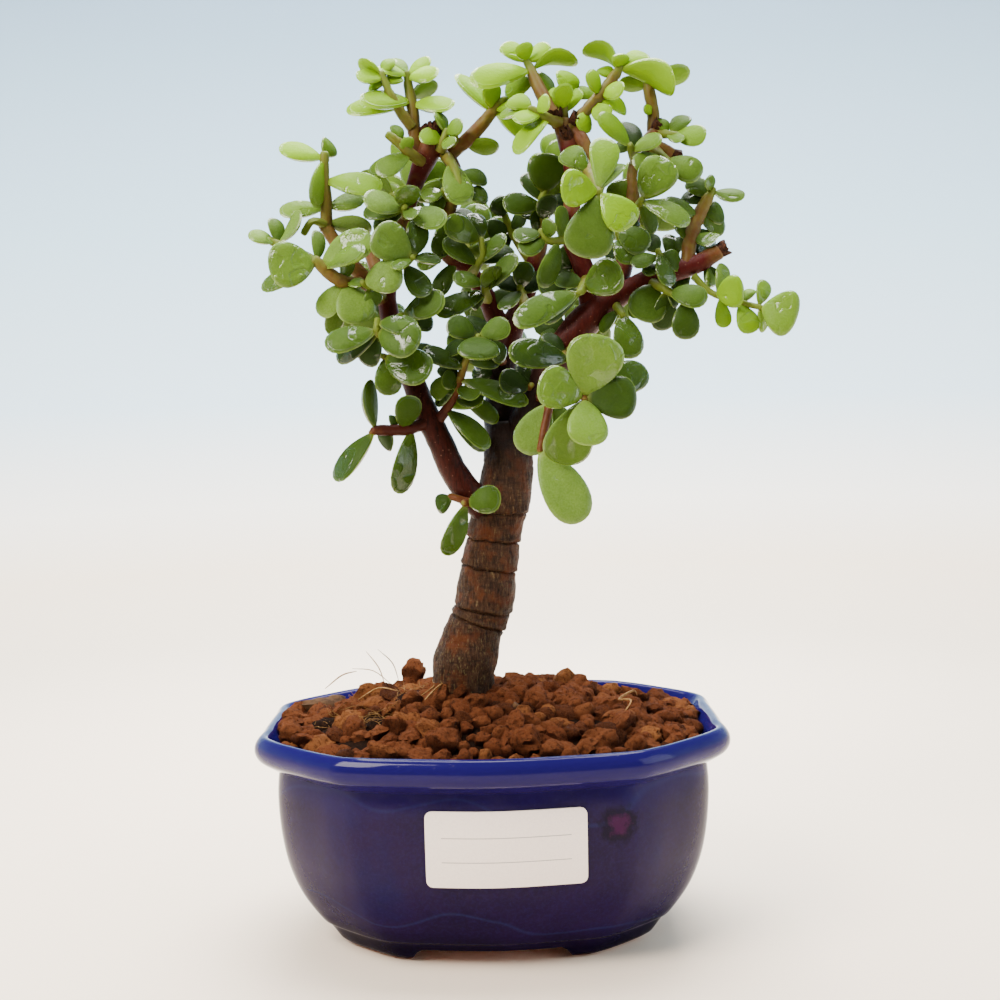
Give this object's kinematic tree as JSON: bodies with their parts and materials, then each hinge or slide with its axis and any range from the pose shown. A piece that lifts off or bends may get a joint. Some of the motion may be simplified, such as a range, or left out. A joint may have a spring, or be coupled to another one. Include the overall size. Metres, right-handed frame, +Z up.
{
  "type": "dwarf jade bonsai",
  "caption": "Potted dwarf jade bonsai: a ringed, leaning trunk with branching shoots of small fleshy leaves, in an octagonal glazed pot with granular soil and a blank label.",
  "frame": {"origin": "middle of the whole part's box, at the underside of the pot's feet", "axes": "+Z up, +X to the right and +Y away from the side with the label"},
  "size_m": [0.1826, 0.1236, 0.3084],
  "materials": {
    "glaze": "deep cobalt glaze, brighter on the rim, bare orange clay under the feet",
    "label_paper": "smooth off-white sticker paper, blank but for faint ruled lines",
    "mesh_plastic": "black drainage mesh",
    "soil": "rough red-brown granules of baked clay and lava",
    "bark": "ringed brown bark, mahogany red on the young limbs",
    "leaf": "smooth waxy succulent leaf, yellow-green when new, on olive stems"
  },
  "bodies": {
    "root": {"pot": "glaze", "label": "label_paper", "drain_mesh_1": "mesh_plastic", "drain_mesh_2": "mesh_plastic", "soil": "soil", "trunk_and_limbs": "bark", "shoot_trefoil": "leaf", "shoot_cross": "leaf", "shoot_fall": "leaf", "shoot_frontLong": "leaf", "shoot_frontRight": "leaf", "shoot_rightSpray": "leaf", "shoot_underCross": "leaf", "shoot_shelf": "leaf", "shoot_shelfRight": "leaf", "shoot_gloss": "leaf", "shoot_stubShoot": "leaf", "shoot_columnRight": "leaf", "shoot_columnLow": "leaf", "shoot_columnLeft": "leaf", "shoot_topRight": "leaf", "shoot_arc": "leaf", "shoot_fan": "leaf", "shoot_high": "leaf", "shoot_calyx": "leaf", "shoot_fork": "leaf", "shoot_hanging": "leaf", "shoot_crownMid": "leaf", "shoot_crownLeft": "leaf", "shoot_crownTip": "leaf", "shoot_crownLow": "leaf", "shoot_leftRosette": "leaf", "shoot_leftArch": "leaf", "shoot_leftHigh": "leaf", "shoot_leftFront": "leaf", "shoot_leftPale": "leaf", "shoot_leftRound": "leaf", "shoot_midLeft": "leaf", "shoot_limbFront": "leaf", "shoot_limbGloss": "leaf", "shoot_midRosette": "leaf", "shoot_saddle": "leaf", "shoot_saddleLow": "leaf", "shoot_midDark": "leaf", "shoot_midRight": "leaf", "shoot_inner": "leaf", "shoot_innerLeft": "leaf", "shoot_veil": "leaf", "shoot_shade": "leaf", "shoot_lowTwig": "leaf", "shoot_leftTwigLow": "leaf", "shoot_trunkPair": "leaf", "shoot_midTop": "leaf", "shoot_backLow": "leaf", "shoot_backLeft": "leaf", "shoot_backCrownLeft": "leaf", "shoot_backMiddle": "leaf", "shoot_backRight": "leaf", "shoot_backCrown": "leaf", "shoot_backRiser": "leaf"}
  },
  "joints": []
}
